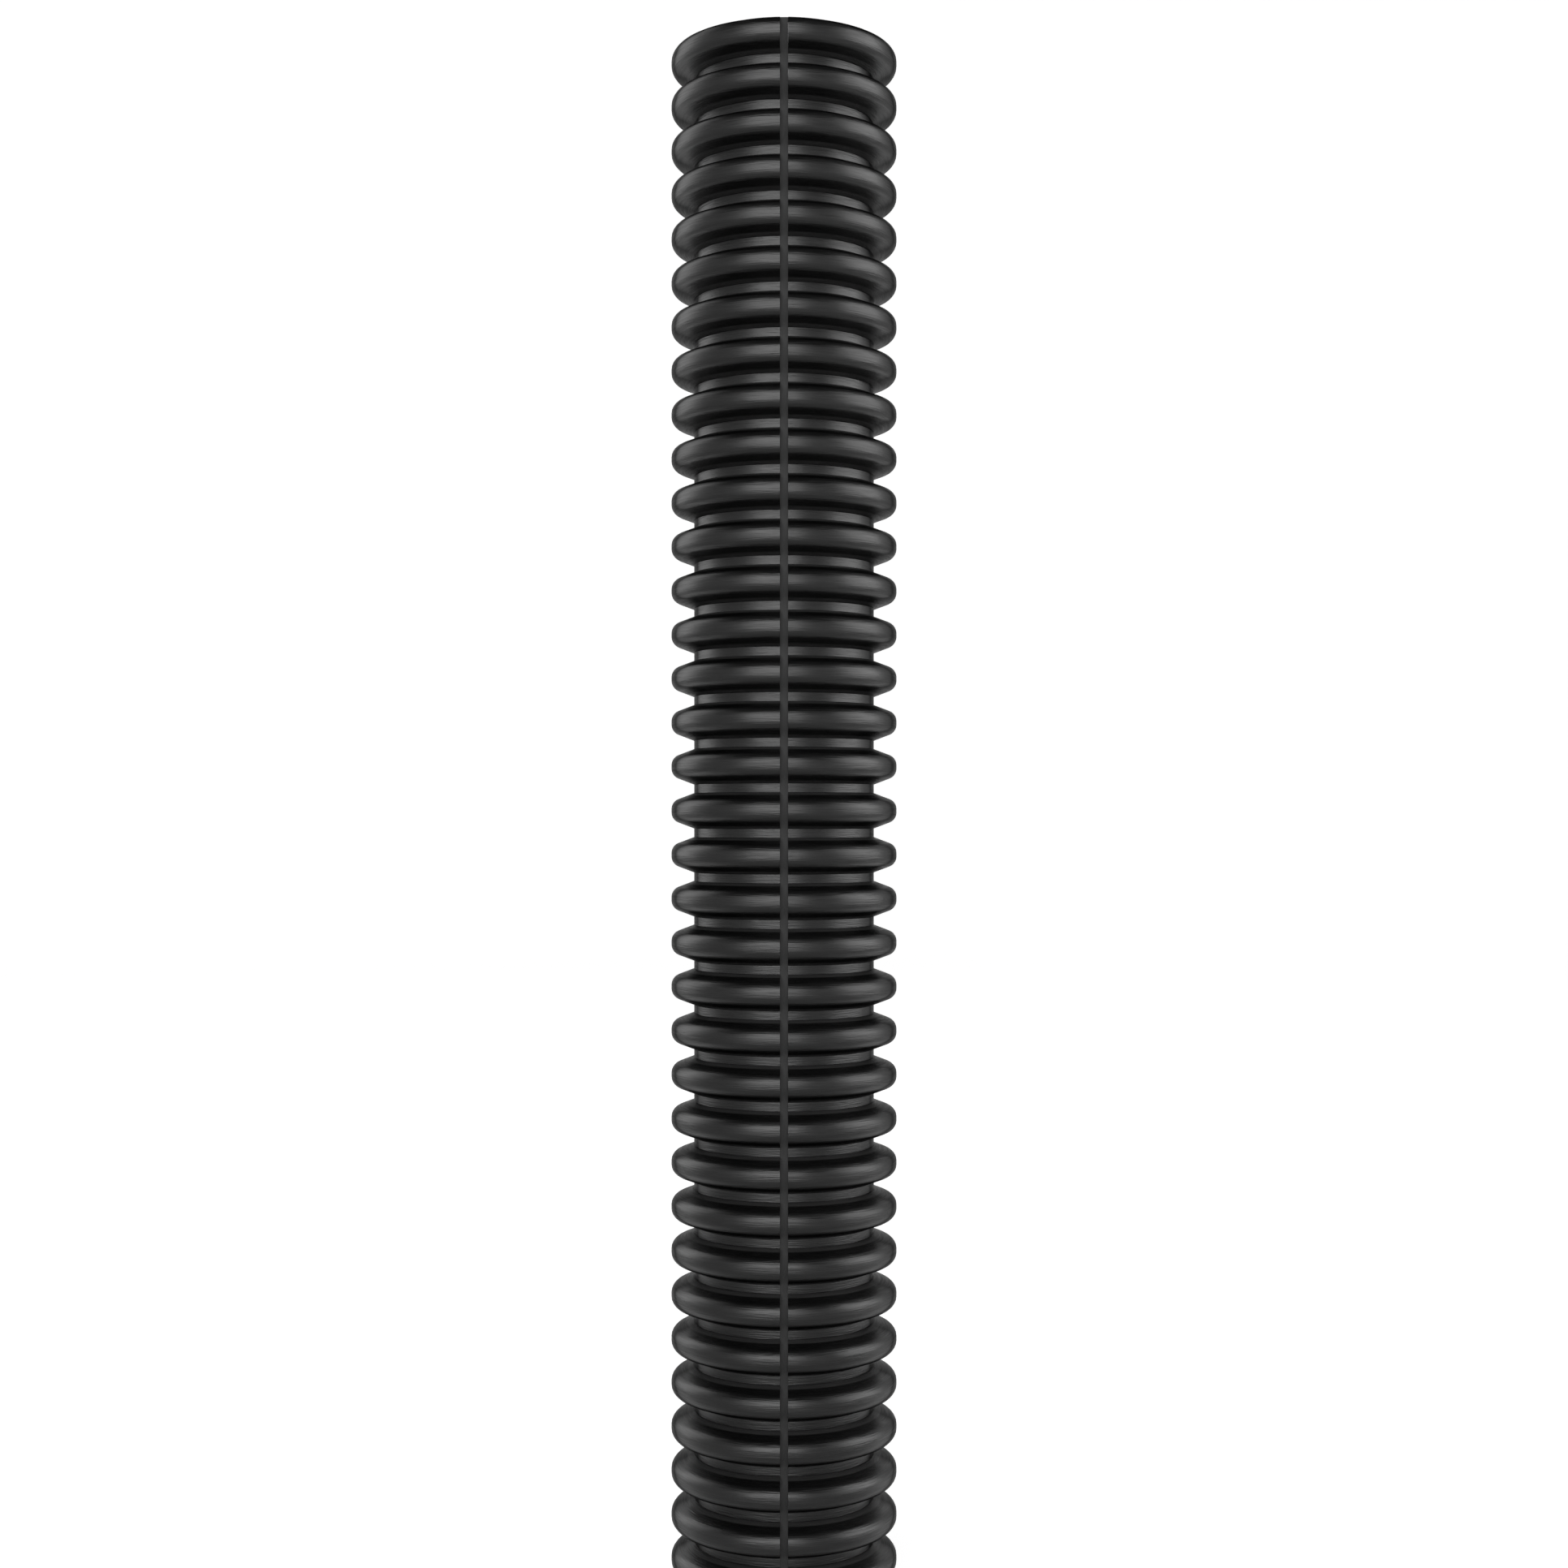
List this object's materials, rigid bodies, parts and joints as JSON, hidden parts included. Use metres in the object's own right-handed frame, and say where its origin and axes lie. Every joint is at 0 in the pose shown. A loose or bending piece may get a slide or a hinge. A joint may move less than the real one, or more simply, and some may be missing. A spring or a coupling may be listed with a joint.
{
  "type": "split corrugated conduit",
  "caption": "Cut length of split corrugated plastic conduit: a round ribbed tube with hollow ribs and a narrow lengthwise slit closed by a thin lip.",
  "frame": {"origin": "on the tube's centre line, in the plane of its lower cut end, which stands on the floor", "axes": "+Z along the tube, upwards; the slit runs along the side that faces -Y; +X is to the right when the slit is seen from the front"},
  "size_m": [0.0212, 0.0212, 0.1524],
  "materials": {
    "black_plastic": "Semi-matt black moulded plastic with soft highlights on the ribs and the valley floors"
  },
  "bodies": {
    "root": {"split_conduit": "black_plastic"}
  },
  "joints": []
}
